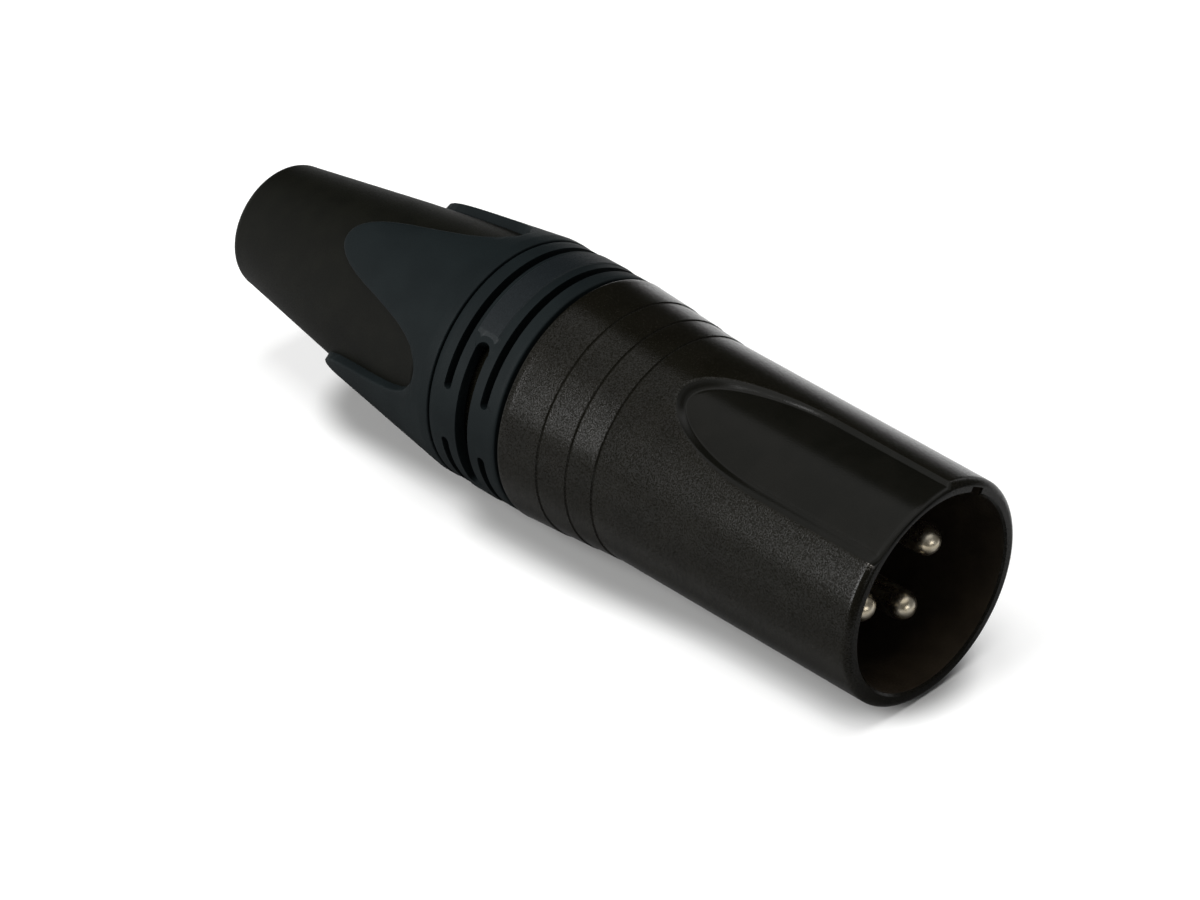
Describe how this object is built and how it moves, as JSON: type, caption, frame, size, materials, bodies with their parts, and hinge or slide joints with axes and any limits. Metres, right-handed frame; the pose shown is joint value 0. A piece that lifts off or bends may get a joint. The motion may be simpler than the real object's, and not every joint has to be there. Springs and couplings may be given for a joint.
{
  "type": "three-pin cable plug",
  "caption": "Round male cable plug: die-cast barrel with recessed contact pins and a thumb recess, slotted ring, and a fingered screw bushing over a soft boot.",
  "frame": {"origin": "centre of the barrel's rim, in the rim's plane", "axes": "+Z along the axis from the mating rim to the cable end, +Y to the thumb recess, with the lone pin at -Y"},
  "size_m": [0.021, 0.021, 0.0728],
  "materials": {
    "housing_black": "fine pebbled satin black on a zinc die casting",
    "insert_black": "satin moulded plastic",
    "contact_silver": "bright silver plating",
    "bushing_black": "matt blue-grey black plastic",
    "boot_rubber": "matt soft rubber",
    "chuck_acetal": "smooth dark plastic"
  },
  "bodies": {
    "plug": {"housing": "housing_black", "contact_insert": "insert_black", "contact_pin_1": "contact_silver", "contact_pin_2": "contact_silver", "contact_pin_3": "contact_silver", "ground_contact": "contact_silver", "slotted_ring": "bushing_black"},
    "clamp": {"chuck": "chuck_acetal"},
    "gland": {"bushing": "bushing_black", "soft_boot": "boot_rubber"}
  },
  "joints": [
    {"name": "chuck_travel", "type": "slide", "parent": "plug", "child": "clamp", "axis": [0, 0, 1], "range_m": [0, 0.00701]},
    {"name": "bushing_turn", "type": "hinge", "parent": "clamp", "child": "gland", "pos_m": [0, 0, 0.0439], "axis": [0, 0, 1], "range_deg": [0, 1260]}
  ],
  "couplings": [
    {"joint": "chuck_travel", "follows": "bushing_turn", "m_per_rad": 0.00031831}
  ]
}
